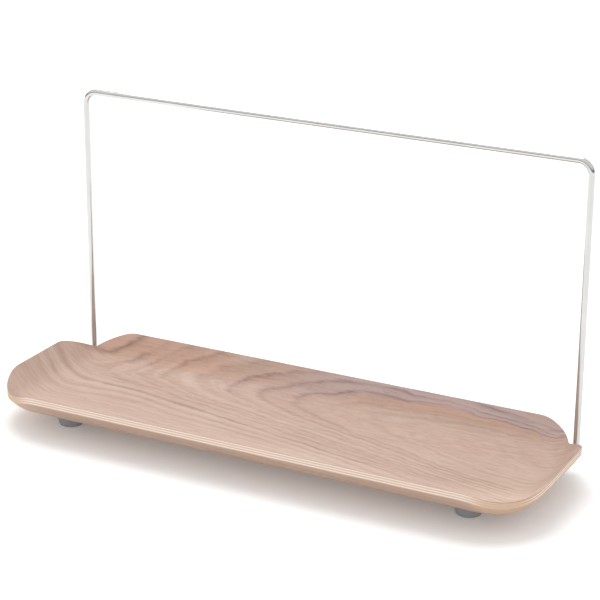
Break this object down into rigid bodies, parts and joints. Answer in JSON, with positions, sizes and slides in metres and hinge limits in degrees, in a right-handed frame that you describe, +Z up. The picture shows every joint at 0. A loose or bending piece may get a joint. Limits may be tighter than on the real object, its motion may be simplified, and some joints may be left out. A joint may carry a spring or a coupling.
{
  "type": "plywood tray with wire arch",
  "caption": "Shallow long tray of moulded plywood with raised rims and notched back corners, on rubber feet, with a bent steel wire arch rising from its back corners.",
  "frame": {"origin": "on the ground under the centre of the tray", "axes": "+X along the tray, +Y towards the back edge where the wire arch stands, +Z up"},
  "size_m": [0.3604, 0.1228, 0.1934],
  "materials": {
    "face_veneer": "bleached walnut veneer, matt, sanded and sealed",
    "ply_edge": "pale birch ply, matt, sanded edge",
    "steel_rod": "polished stainless steel",
    "rubber": "matt grey moulded rubber",
    "zinc": "zinc-plated steel, dull"
  },
  "bodies": {
    "root": {"bottom_face_veneer": "face_veneer", "centre_ply": "ply_edge", "clip_screws_left": "zinc", "clip_screws_right": "zinc", "foot_front_left": "rubber", "foot_front_right": "rubber", "foot_rear_left": "rubber", "foot_rear_right": "rubber", "foot_screw_front_left": "zinc", "foot_screw_front_right": "zinc", "foot_screw_rear_left": "zinc", "foot_screw_rear_right": "zinc", "foot_washer_front_left": "zinc", "foot_washer_front_right": "zinc", "foot_washer_rear_left": "zinc", "foot_washer_rear_right": "zinc", "lower_crossband": "ply_edge", "lower_long_ply": "ply_edge", "saddle_clip_left": "zinc", "saddle_clip_right": "zinc", "top_face_veneer": "face_veneer", "upper_crossband": "ply_edge", "upper_long_ply": "ply_edge", "wire_arch": "steel_rod"}
  },
  "joints": []
}
